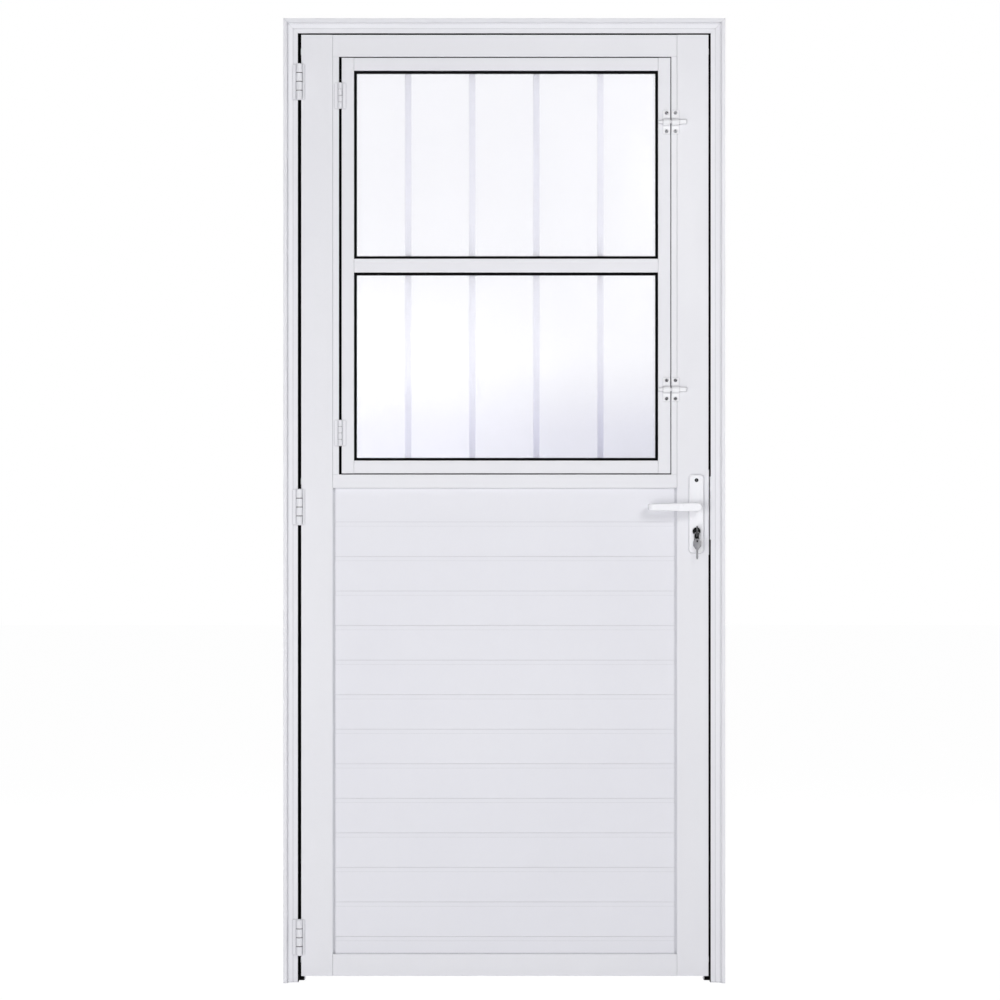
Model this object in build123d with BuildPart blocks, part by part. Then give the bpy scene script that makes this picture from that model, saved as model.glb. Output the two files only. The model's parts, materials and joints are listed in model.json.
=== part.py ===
from build123d import *
from math import cos, radians, sin
import os

os.makedirs("parts", exist_ok=True)

# A framed metal door: boarded below, glazed hatch above. Millimetres, +Z up, the hinge barrels at -Y.
# Origin: floor level, middle of the doorway, middle of the leaf's thickness.

# Doorway and frame
opening_width = 905.0
opening_height = 2080.0
jamb_width = 22.0
jamb_depth = 70.0
jamb_wall = 1.8
stop_rise = 14.0
stop_clearance = 3.0
trim_width = 31.0
trim_start = 11.0
trim_lip = 7.5
trim_height = 13.0
trim_bed = 3.0
trim_slope = 2.4
ridge_width = 1.5
ridge_rise = 0.6
mitre_gap = 0.4
trim_edge = 1.5
trim_wall = 1.5
seal_wall = 1.2
seal_setback = 2.0
seat_gap = 0.3
wall_screw_radius = 4.0
wall_screw_depth = 60.0
wall_screw_low = 150.0
wall_screw_top = 130.0
wall_screws = 4

# Leaf
leaf_thickness = 32.0
hinge_gap = 7.5
lock_gap = 5.0
head_gap = 3.6
floor_gap = 14.0
stile_width = 69.0
top_rail_height = 48.0
bottom_rail_height = 48.0
middle_rail_bottom = 1083.5
middle_rail_height = 29.5
profile_wall = 1.6
corner_gap = 0.4
edge_radius = 0.8
plug_radius = 8.0
plug_rise = 1.5
plug_stem_radius = 4.0
plug_stem = 5.0
plug_inset = 35.0

# Boarding
board_recess = 8.0
board_thickness = 10.0
board_pitch = 75.8
first_board = 74.2
board_wall = 1.5
strip_height = 10.0
strip_depth = 0.4
joint_gap = 0.4
tongue_thickness = 3.0
tongue_rise = 5.0
tongue_clearance = 0.2
channel_depth = 6.0
channel_play = 0.2
board_end_play = 1.0
bead_width = 5.0
bead_rise = 7.5
bead_edge = 0.5

# Hatch: fixed frame in the leaf, and its sash
hatch_face = 13.6
hatch_face_lock = 12.5
hatch_stop = 12.0
hatch_stop_thickness = 7.0
hatch_seal_wall = 0.8
hatch_wall = 1.5
sash_thickness = 22.0
sash_gap_hinge = 6.0
sash_gap_lock = 1.8
sash_gap_top = 2.2
sash_gap_bottom = 2.5
sash_stile = 27.0
sash_rail = 28.0
muntin_height = 30.0
sash_wall = 1.5
glass_thickness = 4.0
glass_bite = 4.0
gasket_thickness = 10.0
gasket_bite = 6.0
gasket_show = 6.0
grille_bar_width = 14.0
grille_bars_count = 4

# Hinges
hinge_radius = 6.75
hinge_height = 76.0
hinge_stand = 7.5
hinge_wing = 3.0
hinge_inset_bottom = 85.5
hinge_inset_top = 103.5
hinge_frame_wing = 14.2
hinge_leaf_wing = 10.9
hinge_washer = 1.6
pin_radius = 3.0
pin_cap = 1.6
small_hinge_radius = 4.5
small_hinge_height = 55.0
small_hinge_stand = 5.2
small_hinge_wing = 2.0
small_hinge_reach = 12.0
small_hinge_inset_bottom = 88.4
small_hinge_inset_top = 83.6
small_hinge_washer = 1.0
small_pin_radius = 2.0
small_pin_cap = 1.0
knuckles = 4
hinge_play = 0.45
running_play = 0.05

# Hatch latches
latch_inset_bottom = 183.7
latch_inset_top = 141.1
saddle_length = 15.0
saddle_height = 51.0
saddle_plate = 1.6
saddle_radius = 7.5
saddle_inset = 1.0
guide_start = 1.5
rod_radius = 4.0
rod_stand = 6.0
rod_nose = 11.0
grip_radius = 5.2
grip_flat = 3.6
grip_length = 16.5
screw_head_radius = 3.7
screw_head_height = 2.0
screw_shank_radius = 1.5
screw_shank = 10.0
screw_spread = 20.0
recess_width = 1.4
recess_depth = 0.9
slot_turns = (120.0, 75.0, 20.0, 150.0)

# Lock and handles
backset = 26.7
handle_height = 1041.7
cylinder_drop = 53.0
plate_width = 32.0
plate_height = 171.4
plate_top = 70.8
plate_thickness = 8.0
plate_corner = 8.0
plate_edge = 2.5
plate_screw_inset = 12.0
plate_screw_radius = 2.4
plate_screw_head = 4.2
neck_radius = 9.4
stem_radius = 8.4
neck_socket = 4.0
handle_stand = 58.0
handle_thickness = 9.0
handle_reach = 107.0
handle_bend = 12.0
handle_return = 30.0
handle_edge = 3.0
handle_tip = 14.0
spindle_side = 8.0
spindle_end = 49.0
spindle_room = 6.2
euro_radius = 8.5
euro_leg = 10.0
euro_height = 33.0
cylinder_half = 27.0
plug_bore = 6.0
plug_proud = 0.5
keyway_width = 2.6
keyway_height = 6.8
case_width = 40.0
case_thickness = 15.0
case_drop = 94.0
case_height = 165.0
faceplate_width = 22.0
faceplate_margin = 11.0
faceplate_thickness = 1.5
bolt_play = 0.1
spring_latch_height = 20.0
spring_latch_rise = 18.3
spring_latch_width = 12.0
spring_latch_throw = 10.0
spring_latch_length = 35.0
deadbolt_height = 22.0
deadbolt_drop = 34.7
deadbolt_width = 10.0
deadbolt_length = 36.0
strike_margin_bottom = 36.5
strike_margin_top = 28.0
strike_width = 24.0
strike_thickness = 1.2
strike_room = 1.0

# Keys
key_thickness = 2.2
key_blade = 4.8
key_blade_length = 22.0
key_bow_width = 24.0
key_bow_height = 22.0
key_bow_corner = 7.0
key_shoulder = 3.0
key_hole_radius = 3.2
key_hole_rim = 2.0
key_notch = 1.4
key_notches = 5
ring_radius = 9.0
ring_wire = 0.9
ring_turn = 40.0
ring_sag = 1.4

# Places that follow from the sizes above
half_opening = opening_width / 2
front = -leaf_thickness / 2
back = leaf_thickness / 2
frame_back = front + jamb_depth
stop_front = back + stop_clearance
leaf_left = -half_opening + hinge_gap
leaf_right = half_opening - lock_gap
leaf_bottom = floor_gap
leaf_top = opening_height - head_gap
rail_left = leaf_left + stile_width
rail_right = leaf_right - stile_width
panel_bottom = leaf_bottom + bottom_rail_height
middle_rail_top = middle_rail_bottom + middle_rail_height
top_rail_bottom = leaf_top - top_rail_height
board_front = front + board_recess
board_back = board_front + board_thickness
hatch_left = rail_left + hatch_face
hatch_right = rail_right - hatch_face_lock
sash_left = hatch_left + sash_gap_hinge
sash_right = hatch_right - sash_gap_lock
sash_bottom = middle_rail_top + sash_gap_bottom
sash_top = top_rail_bottom - sash_gap_top
sash_back = front + sash_thickness
hatch_stop_front = back - hatch_stop_thickness
light_left = hatch_left + hatch_stop
light_right = hatch_right - hatch_stop
light_bottom = middle_rail_top + hatch_stop
light_top = top_rail_bottom - hatch_stop
pane_left = sash_left + sash_stile
pane_right = sash_right - sash_stile
glazing_middle = (front + sash_back) / 2
glazing_front = glazing_middle - gasket_thickness / 2
glazing_back = glazing_middle + gasket_thickness / 2
lock_x = leaf_right - backset
cylinder_height = handle_height - cylinder_drop
case_bottom = handle_height - case_drop
spring_latch_bottom = handle_height + spring_latch_rise
deadbolt_bottom = handle_height - deadbolt_drop
strike_bottom = deadbolt_bottom - strike_margin_bottom
strike_top = spring_latch_bottom + spring_latch_height + strike_margin_top
hinge_heights = (leaf_bottom + hinge_inset_bottom, handle_height, leaf_top - hinge_inset_top)
small_hinge_heights = (sash_bottom + small_hinge_inset_bottom, sash_top - small_hinge_inset_top)
latch_heights = (sash_bottom + latch_inset_bottom, sash_top - latch_inset_top)
wall_screw_pitch = (opening_height - wall_screw_top - wall_screw_low) / (wall_screws - 1)
wall_screw_heights = [wall_screw_low + index * wall_screw_pitch for index in range(wall_screws)]
plate_face = front - plate_thickness
grip_front = front - handle_stand


def at_x(x):
    """A sketch plane across the door's width: its axes are Y and Z, and it faces +X."""
    return Plane.YZ.offset(x)


def at_y(y):
    """A sketch plane parallel to the leaf: its axes are X and Z, and it faces -Y."""
    return Plane.XZ.offset(-y)


def at_z(z):
    """A level sketch plane: its axes are X and Y, and it faces +Z."""
    return Plane.XY.offset(z)


def area(low, high, mode=Mode.ADD):
    """A rectangle between two opposite corners, in the sketch that is open."""
    with Locations(((low[0] + high[0]) / 2, (low[1] + high[1]) / 2)):
        Rectangle(high[0] - low[0], high[1] - low[1], mode=mode)


def save(piece, name):
    """Label a finished piece and write its STEP file."""
    piece.part.label = name
    export_step(piece.part, f"parts/{name}.step")


# Frame sections are drawn with X running outward from the doorway's edge and Y through the wall.
hinge_side = Plane(origin=(-half_opening, 0, 0), x_dir=(-1, 0, 0), z_dir=(0, 0, -1))
head_side = Plane(origin=(0, 0, opening_height), x_dir=(0, 0, 1), z_dir=(-1, 0, 0))
hinge_mitre = Plane(origin=(-half_opening, 0, opening_height), z_dir=(1, 0, 1))
lock_mitre = Plane(origin=(half_opening, 0, opening_height), z_dir=(-1, 0, 1))
side_mitre = hinge_mitre.offset(-mitre_gap / 2)
head_mitres = (hinge_mitre.offset(mitre_gap / 2), lock_mitre.offset(mitre_gap / 2))


def jamb_section():
    """A hollow frame section with the stop that the leaf closes against."""
    area((0, front), (jamb_width, frame_back))
    area((-stop_rise, stop_front), (0, frame_back))
    area(
        (jamb_wall, front + jamb_wall),
        (jamb_width - jamb_wall, frame_back - jamb_wall),
        Mode.SUBTRACT,
    )
    area(
        (-stop_rise + jamb_wall, stop_front + jamb_wall),
        (0, frame_back - jamb_wall),
        Mode.SUBTRACT,
    )


def trim_section():
    """The moulding over the frame's face: a sloped bed, a ridge, a slope and a raised outer lip."""
    lip_start = trim_width - trim_lip
    lip_top = front - trim_height
    ridge_end = lip_start - trim_slope
    ridge_top = front - trim_bed - ridge_rise
    Polygon(
        (trim_start, front),
        (trim_start, front - trim_edge),
        (ridge_end - ridge_width, front - trim_bed),
        (ridge_end - ridge_width, ridge_top),
        (ridge_end, ridge_top),
        (lip_start, lip_top),
        (trim_width, lip_top),
        (trim_width, front),
    )
    area(
        (lip_start + trim_wall, lip_top + trim_wall),
        (trim_width - trim_wall, front - trim_wall),
        Mode.SUBTRACT,
    )


def lip_edges(piece, axis):
    """The two long edges along the top of a trim's lip."""
    return piece.edges().filter_by(axis).group_by(Axis.Y)[0]


with BuildPart() as jamb_hinge_side:
    with BuildSketch(hinge_side):
        jamb_section()
    extrude(amount=-(opening_height + jamb_width))
    split(bisect_by=side_mitre, keep=Keep.BOTTOM)
    with BuildSketch(at_x(-half_opening + stop_rise)):
        with Locations(*[(front + wall_screw_depth, z) for z in wall_screw_heights]):
            Circle(wall_screw_radius)
    extrude(amount=-(stop_rise + jamb_width), mode=Mode.SUBTRACT)
save(jamb_hinge_side, "jamb_hinge_side")

with BuildPart() as jamb_lock_side:
    mirror(jamb_hinge_side.part, about=Plane.YZ)
    with BuildSketch(at_x(half_opening)):
        area(
            (-spring_latch_width / 2 - strike_room, spring_latch_bottom - strike_room),
            (spring_latch_width / 2 + strike_room, spring_latch_bottom + spring_latch_height + strike_room),
        )
        area(
            (-deadbolt_width / 2 - strike_room, deadbolt_bottom - strike_room),
            (deadbolt_width / 2 + strike_room, deadbolt_bottom + deadbolt_height + strike_room),
        )
    extrude(amount=jamb_wall, mode=Mode.SUBTRACT)
save(jamb_lock_side, "jamb_lock_side")

with BuildPart() as frame_head:
    with BuildSketch(head_side):
        jamb_section()
    extrude(amount=half_opening + jamb_width, both=True)
    for mitre in head_mitres:
        split(bisect_by=mitre, keep=Keep.TOP)
save(frame_head, "frame_head")

with BuildPart() as trim_hinge_side:
    with BuildSketch(hinge_side):
        trim_section()
    extrude(amount=-(opening_height + trim_width))
    fillet(lip_edges(trim_hinge_side, Axis.Z), edge_radius)
    split(bisect_by=side_mitre, keep=Keep.BOTTOM)
save(trim_hinge_side, "trim_hinge_side")

with BuildPart() as trim_lock_side:
    mirror(trim_hinge_side.part, about=Plane.YZ)
save(trim_lock_side, "trim_lock_side")

with BuildPart() as trim_head:
    with BuildSketch(head_side):
        trim_section()
    extrude(amount=half_opening + trim_width, both=True)
    fillet(lip_edges(trim_head, Axis.X), edge_radius)
    for mitre in head_mitres:
        split(bisect_by=mitre, keep=Keep.TOP)
save(trim_head, "trim_head")

# One length of rubber runs up, across and down: a leg on the frame's wall and a leg on its stop.
with BuildPart() as frame_seal:
    with BuildLine() as seal_route:
        Polyline(
            (-half_opening, 0, 0),
            (-half_opening, 0, opening_height),
            (half_opening, 0, opening_height),
            (half_opening, 0, 0),
        )
    with BuildSketch(hinge_side):
        area((-seal_wall, front + seal_setback), (0, stop_front))
        area((-(stop_rise - seal_setback), back + seat_gap), (0, stop_front))
    sweep(path=seal_route.wires()[0], transition=Transition.RIGHT)
    with BuildSketch(at_x(half_opening - seal_wall)):
        area(
            (front, strike_bottom - strike_room),
            (back + seat_gap, strike_top + strike_room),
        )
    extrude(amount=seal_wall, mode=Mode.SUBTRACT)
save(frame_seal, "frame_seal")

with BuildPart() as strike_plate:
    with BuildSketch(at_x(half_opening - strike_thickness)):
        area(
            (-strike_width / 2, strike_bottom),
            (strike_width / 2, strike_top),
        )
        area(
            (-spring_latch_width / 2 - strike_room, spring_latch_bottom - strike_room),
            (spring_latch_width / 2 + strike_room, spring_latch_bottom + spring_latch_height + strike_room),
            Mode.SUBTRACT,
        )
        area(
            (-deadbolt_width / 2 - strike_room, deadbolt_bottom - strike_room),
            (deadbolt_width / 2 + strike_room, deadbolt_bottom + deadbolt_height + strike_room),
            Mode.SUBTRACT,
        )
    extrude(amount=strike_thickness)
    fillet(strike_plate.edges().filter_by(Axis.X).group_by(Axis.Z)[0], strike_room)
    fillet(strike_plate.edges().filter_by(Axis.X).group_by(Axis.Z)[-1], strike_room)
save(strike_plate, "strike_plate")

# Leaf stiles and rails are hollow, with a channel that holds the boards.


def stile_section(outer, inner, toward):
    """A stile in plan: outer edge, inner edge, and the X direction from one to the other."""
    area((min(outer, inner), front), (max(outer, inner), back))
    web = inner - toward * (channel_depth + profile_wall)
    hollow = sorted((outer + toward * profile_wall, web))
    area(
        (hollow[0], front + profile_wall),
        (hollow[1], back - profile_wall),
        Mode.SUBTRACT,
    )
    channel = sorted((inner, inner - toward * channel_depth))
    area(
        (channel[0], board_front - channel_play),
        (channel[1], board_back + channel_play),
        Mode.SUBTRACT,
    )


def long_edges(piece, axis):
    """The outside edges along an extrusion's front and back faces."""
    lines = piece.edges().filter_by(axis)
    return lines.group_by(Axis.Y)[0] + lines.group_by(Axis.Y)[-1]


plug_heights = (leaf_bottom + plug_inset, (middle_rail_bottom + middle_rail_top) / 2, leaf_top - plug_inset)

with BuildPart() as stile_hinge_side:
    with BuildSketch(at_z(leaf_bottom)):
        stile_section(leaf_left, rail_left, 1)
    extrude(amount=leaf_top - leaf_bottom)
    fillet(long_edges(stile_hinge_side, Axis.Z), edge_radius)
    with BuildSketch(at_x(leaf_left)):
        with Locations(*[(0, z) for z in plug_heights]):
            Circle(plug_stem_radius + running_play)
    extrude(amount=profile_wall, mode=Mode.SUBTRACT)
save(stile_hinge_side, "stile_hinge_side")


def euro_profile(play=0.0):
    """The keyhole-shaped section of the lock cylinder, centred on its plug."""
    Circle(euro_radius + play)
    foot = euro_radius - euro_height + euro_leg / 2
    with Locations((0, foot / 2)):
        Rectangle(euro_leg + 2 * play, -foot)
    with Locations((0, foot)):
        Circle(euro_leg / 2 + play)


def lock_plane(y, z):
    """A sketch plane parallel to the leaf, centred on the lock's upright line."""
    return Plane(origin=(lock_x, y, z), x_dir=(1, 0, 0), z_dir=(0, -1, 0))


plate_screw_heights = (
    handle_height + plate_top - plate_screw_inset,
    handle_height + plate_top - plate_height + plate_screw_inset,
)

with BuildPart() as stile_lock_side:
    with BuildSketch(at_z(leaf_bottom)):
        stile_section(leaf_right, rail_right, -1)
    extrude(amount=leaf_top - leaf_bottom)
    fillet(long_edges(stile_lock_side, Axis.Z), edge_radius)
    with BuildSketch(at_x(leaf_right)):
        with Locations((0, plug_heights[0]), (0, plug_heights[-1])):
            Circle(plug_stem_radius + running_play)
        area(
            (-case_thickness / 2 - channel_play, case_bottom - channel_play),
            (case_thickness / 2 + channel_play, case_bottom + case_height + channel_play),
        )
    extrude(amount=-profile_wall, mode=Mode.SUBTRACT)
    with BuildSketch(lock_plane(front, cylinder_height)):
        euro_profile(seat_gap)
        with Locations((0, cylinder_drop)):
            Circle(spindle_room + seat_gap)
        with Locations(*[(0, z - cylinder_height) for z in plate_screw_heights]):
            Circle(plate_screw_radius + seat_gap)
    extrude(amount=-leaf_thickness, mode=Mode.SUBTRACT)
save(stile_lock_side, "stile_lock_side")


def rail_section(low, high, channel=None):
    """A rail in side view, hollow, with an optional channel for boards in its top or bottom."""
    area((front, low), (back, high))
    floor = low + profile_wall + (channel_depth if channel == "below" else 0)
    roof = high - profile_wall - (channel_depth if channel == "above" else 0)
    area((front + profile_wall, floor), (back - profile_wall, roof), Mode.SUBTRACT)
    if channel:
        edge = low if channel == "below" else high - channel_depth
        area(
            (board_front - channel_play, edge),
            (board_back + channel_play, edge + channel_depth),
            Mode.SUBTRACT,
        )


rail_sizes = {
    "rail_top": (top_rail_bottom, leaf_top, None),
    "rail_middle": (middle_rail_bottom, middle_rail_top, "below"),
    "rail_bottom": (leaf_bottom, panel_bottom, "above"),
}
for rail_name, (low, high, channel) in rail_sizes.items():
    with BuildPart() as rail:
        with BuildSketch(at_x(rail_left + corner_gap)):
            rail_section(low, high, channel)
        extrude(amount=rail_right - rail_left - 2 * corner_gap)
        fillet(long_edges(rail, Axis.X), edge_radius)
    save(rail, rail_name)

# White plugs close the screw holes in the leaf's edges. The lock takes the place of the sixth.
with BuildPart() as stile_plugs:
    for edge, away, heights in (
        (leaf_left, -1, plug_heights),
        (leaf_right, 1, (plug_heights[0], plug_heights[-1])),
    ):
        with BuildSketch(at_x(edge)):
            with Locations(*[(0, z) for z in heights]):
                Circle(plug_radius)
        extrude(amount=away * plug_rise, taper=30)
        with BuildSketch(at_x(edge)):
            with Locations(*[(0, z) for z in heights]):
                Circle(plug_stem_radius)
        extrude(amount=-away * plug_stem)
save(stile_plugs, "stile_plugs")

# Boards lie across the lower half, each with a tongue that enters the board above it.
boards_top = middle_rail_bottom + channel_depth - board_end_play
boards_floor = panel_bottom - channel_depth + board_end_play
first_joint = middle_rail_bottom - first_board
board_joints = [first_joint]
while board_joints[-1] - board_pitch > panel_bottom + strip_height + tongue_rise:
    board_joints.append(board_joints[-1] - board_pitch)
tongue_front = board_front + (board_thickness - tongue_thickness) / 2


def board_section(low, high, grooved, tongued):
    """One board in side view, from its lower joint to its upper one."""
    top = high - tongue_clearance if tongued else high
    area((board_front, low), (board_back, top))
    if tongued:
        area((board_front, high - strip_height), (board_front + strip_depth, high), Mode.SUBTRACT)
        area((board_front, high - joint_gap), (tongue_front, high), Mode.SUBTRACT)
        area(
            (tongue_front, high - joint_gap),
            (tongue_front + tongue_thickness, high + tongue_rise),
        )
    if grooved:
        area(
            (tongue_front - tongue_clearance, low),
            (tongue_front + tongue_thickness + tongue_clearance, low + tongue_rise + joint_gap),
            Mode.SUBTRACT,
        )
    hollow_low = low + board_wall + (tongue_rise + joint_gap if grooved else 0)
    hollow_high = high - board_wall - (strip_height if tongued else 0)
    if hollow_high - hollow_low > board_wall:
        area(
            (board_front + board_wall, hollow_low),
            (board_back - board_wall, hollow_high),
            Mode.SUBTRACT,
        )


board_spans = [(board_joints[0], boards_top, True, False)]
for upper, lower in zip(board_joints, board_joints[1:]):
    board_spans.append((lower, upper, True, True))
board_spans.append((boards_floor, board_joints[-1], False, True))

boards = []
for low, high, grooved, tongued in board_spans:
    with BuildPart() as board:
        with BuildSketch(at_x(rail_left - channel_depth + board_end_play)):
            board_section(low, high, grooved, tongued)
        extrude(amount=rail_right - rail_left + 2 * (channel_depth - board_end_play))
    boards.append(board.part.solid())
lambri_boards = Compound(children=boards, label="lambri_boards")
export_step(lambri_boards, "parts/lambri_boards.step")

with BuildPart() as panel_beads:
    for edge, toward in ((rail_left, 1), (rail_right, -1)):
        with BuildSketch(at_z(panel_bottom)):
            Polygon(
                (edge, board_front),
                (edge, board_front - bead_rise),
                (edge + toward * bead_width, board_front - bead_edge),
                (edge + toward * bead_width, board_front),
            )
        extrude(amount=middle_rail_bottom - panel_bottom)
save(panel_beads, "panel_beads")

# The hatch's fixed frame stands in the upper half of the leaf, with stops behind the sash.


def hatch_side_section(outer, inner, toward):
    """A side of the hatch frame in plan: a tube beside the stile and a stop behind the sash."""
    area((min(outer, inner), front), (max(outer, inner), back))
    hollow = sorted((outer + toward * hatch_wall, inner - toward * hatch_wall))
    area(
        (hollow[0], front + hatch_wall),
        (hollow[1], back - hatch_wall),
        Mode.SUBTRACT,
    )
    stop = sorted((inner, inner + toward * hatch_stop))
    area((stop[0], hatch_stop_front), (stop[1], back))


guide_x = hatch_right + guide_start
guide_screw_x = guide_x + saddle_length / 2
keeper_x = sash_right - saddle_inset - saddle_length
keeper_screw_x = keeper_x + saddle_length / 2
latch_screw_heights = [z + side * screw_spread for z in latch_heights for side in (-1, 1)]

with BuildPart() as hatch_frame_hinge_side:
    with BuildSketch(at_z(middle_rail_top)):
        hatch_side_section(rail_left + corner_gap, hatch_left, 1)
    extrude(amount=top_rail_bottom - middle_rail_top)
save(hatch_frame_hinge_side, "hatch_frame_hinge_side")

with BuildPart() as hatch_frame_lock_side:
    with BuildSketch(at_z(middle_rail_top)):
        hatch_side_section(rail_right - corner_gap, hatch_right, -1)
    extrude(amount=top_rail_bottom - middle_rail_top)
    with BuildSketch(at_y(front)):
        with Locations(*[(guide_screw_x, z) for z in latch_screw_heights]):
            Circle(screw_shank_radius + running_play)
    extrude(amount=-hatch_wall, mode=Mode.SUBTRACT)
save(hatch_frame_lock_side, "hatch_frame_lock_side")

for strip_name, edge, inward in (
    ("hatch_frame_top", top_rail_bottom, -1),
    ("hatch_frame_bottom", middle_rail_top, 1),
):
    with BuildPart() as strip:
        with BuildSketch(at_x(light_left)):
            span = sorted((edge, edge + inward * hatch_stop))
            area((hatch_stop_front, span[0]), (back, span[1]))
        extrude(amount=light_right - light_left)
    save(strip, strip_name)

# Rubber round the hatch opening: a leg along its walls and a leg on the stops.
with BuildPart() as hatch_seal:
    with BuildSketch(at_y(front + seal_setback)):
        area((hatch_left, middle_rail_top), (hatch_right, top_rail_bottom))
    extrude(amount=-(hatch_stop_front - front - seal_setback))
    with BuildSketch(at_y(front + seal_setback)):
        area(
            (hatch_left + hatch_seal_wall, middle_rail_top + hatch_seal_wall),
            (hatch_right - hatch_seal_wall, top_rail_bottom - hatch_seal_wall),
        )
    extrude(amount=-(sash_back + seat_gap - front - seal_setback), mode=Mode.SUBTRACT)
    with BuildSketch(at_y(sash_back + seat_gap)):
        area(
            (light_left - seal_wall, light_bottom - seal_wall),
            (light_right + seal_wall, light_top + seal_wall),
        )
    extrude(amount=-(hatch_stop_front - sash_back - seat_gap), mode=Mode.SUBTRACT)
save(hatch_seal, "hatch_seal")

with BuildPart() as grille_bars:
    bar_pitch = (light_right - light_left) / (grille_bars_count + 1)
    for index in range(1, grille_bars_count + 1):
        bar_centre = (index - (grille_bars_count + 1) / 2) * bar_pitch
        with BuildSketch(at_z(light_bottom)):
            area(
                (bar_centre - grille_bar_width / 2, hatch_stop_front),
                (bar_centre + grille_bar_width / 2, back),
            )
        extrude(amount=light_top - light_bottom)
    fillet(long_edges(grille_bars, Axis.Z), edge_radius)
save(grille_bars, "grille_bars")

# The sash: tubes with a groove for the glass and its gasket.


def sash_section(width, grooves):
    """A sash bar: X is its width from the outer edge, Y runs from front to back."""
    area((0, front), (width, sash_back))
    low = sash_wall + (gasket_bite if "low" in grooves else 0)
    high = width - sash_wall - (gasket_bite if "high" in grooves else 0)
    area((low, front + sash_wall), (high, sash_back - sash_wall), Mode.SUBTRACT)
    if "high" in grooves:
        area((width - gasket_bite, glazing_front), (width, glazing_back), Mode.SUBTRACT)
    if "low" in grooves:
        area((0, glazing_front), (gasket_bite, glazing_back), Mode.SUBTRACT)


with BuildPart() as sash_stile_hinge_side:
    with BuildSketch(Plane(origin=(sash_left, 0, sash_bottom), x_dir=(1, 0, 0), z_dir=(0, 0, 1))):
        sash_section(sash_stile, ("high",))
    extrude(amount=sash_top - sash_bottom)
    fillet(long_edges(sash_stile_hinge_side, Axis.Z), edge_radius)
save(sash_stile_hinge_side, "sash_stile_hinge_side")

with BuildPart() as sash_stile_lock_side:
    with BuildSketch(Plane(origin=(sash_right, 0, sash_bottom), x_dir=(-1, 0, 0), z_dir=(0, 0, -1))):
        sash_section(sash_stile, ("high",))
    extrude(amount=-(sash_top - sash_bottom))
    fillet(long_edges(sash_stile_lock_side, Axis.Z), edge_radius)
    with BuildSketch(at_y(front)):
        with Locations(*[(keeper_screw_x, z) for z in latch_screw_heights]):
            Circle(screw_shank_radius + running_play)
    extrude(amount=-sash_wall, mode=Mode.SUBTRACT)
save(sash_stile_lock_side, "sash_stile_lock_side")

muntin_bottom = (sash_bottom + sash_top - muntin_height) / 2
for bar_name, low, width, grooves in (
    ("sash_rail_bottom", sash_bottom, sash_rail, ("high",)),
    ("sash_muntin", muntin_bottom, muntin_height, ("low", "high")),
    ("sash_rail_top", sash_top - sash_rail, sash_rail, ("low",)),
):
    with BuildPart() as bar:
        with BuildSketch(Plane(origin=(pane_left + corner_gap, 0, low), x_dir=(0, 0, 1), z_dir=(-1, 0, 0))):
            sash_section(width, grooves)
        extrude(amount=-(pane_right - pane_left - 2 * corner_gap))
        fillet(long_edges(bar, Axis.X), edge_radius)
    save(bar, bar_name)

pane_spans = {
    "lower": (sash_bottom + sash_rail, muntin_bottom),
    "upper": (muntin_bottom + muntin_height, sash_top - sash_rail),
}
for place, (low, high) in pane_spans.items():
    with BuildPart() as pane:
        with BuildSketch(at_y(glazing_middle)):
            area((pane_left - glass_bite, low - glass_bite), (pane_right + glass_bite, high + glass_bite))
        extrude(amount=glass_thickness / 2, both=True)
    save(pane, f"pane_{place}")

    with BuildPart() as gasket:
        with BuildSketch(at_y(glazing_middle)):
            area((pane_left - gasket_bite, low - gasket_bite), (pane_right + gasket_bite, high + gasket_bite))
            area(
                (pane_left + gasket_show, low + gasket_show),
                (pane_right - gasket_show, high - gasket_show),
                Mode.SUBTRACT,
            )
        extrude(amount=gasket_thickness / 2, both=True)
        add(pane.part, mode=Mode.SUBTRACT)
    save(gasket, f"gasket_{place}")

# Hinges: wings on the faces, four knuckles in turn, a washer between two, and one pin.


def hinge_steps(height, washer):
    """Low and high ends of each knuckle, from the middle of the hinge's height."""
    knuckle = (height - (knuckles - 1) * washer) / knuckles
    starts = [-height / 2 + index * (knuckle + washer) for index in range(knuckles)]
    return [(start, start + knuckle) for start in starts]


def hinge_wings(axis, heights, size, wing, reach, toward, first):
    """One side of a set of hinges. toward is the wing's X direction, first its lowest knuckle."""
    radius, pin, height, washer = size
    wing_back = front
    near = radius + hinge_play
    pieces = []
    for middle in heights:
        with BuildPart() as side:
            with BuildSketch(at_z(middle - height / 2)):
                plate = sorted((axis[0] + toward * near, axis[0] + toward * reach))
                area((plate[0], wing_back - wing), (plate[1], wing_back))
            extrude(amount=height)
            for low, high in hinge_steps(height, washer)[first::2]:
                with BuildSketch(at_z(middle + low)):
                    web = sorted((axis[0], axis[0] + toward * near))
                    area((web[0], wing_back - wing), (web[1], axis[1] + radius))
                    with Locations(axis):
                        Circle(radius)
                        Circle(pin + running_play, mode=Mode.SUBTRACT)
                extrude(amount=high - low)
        pieces.append(side.part.solid())
    return pieces


def hinge_pins(axis, heights, size, cap):
    """A round pin with a domed cap beyond each end knuckle."""
    radius, pin, height, washer = size
    pieces = []
    for middle in heights:
        with BuildPart() as rod:
            with BuildSketch(at_z(middle)):
                with Locations(axis):
                    Circle(pin)
            extrude(amount=height / 2 + running_play, both=True)
            for end in (1, -1):
                with BuildSketch(at_z(middle + end * (height / 2 + running_play))):
                    with Locations(axis):
                        Circle(radius - cap / 2)
                extrude(amount=end * cap, taper=40)
        pieces.append(rod.part.solid())
    return pieces


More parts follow.
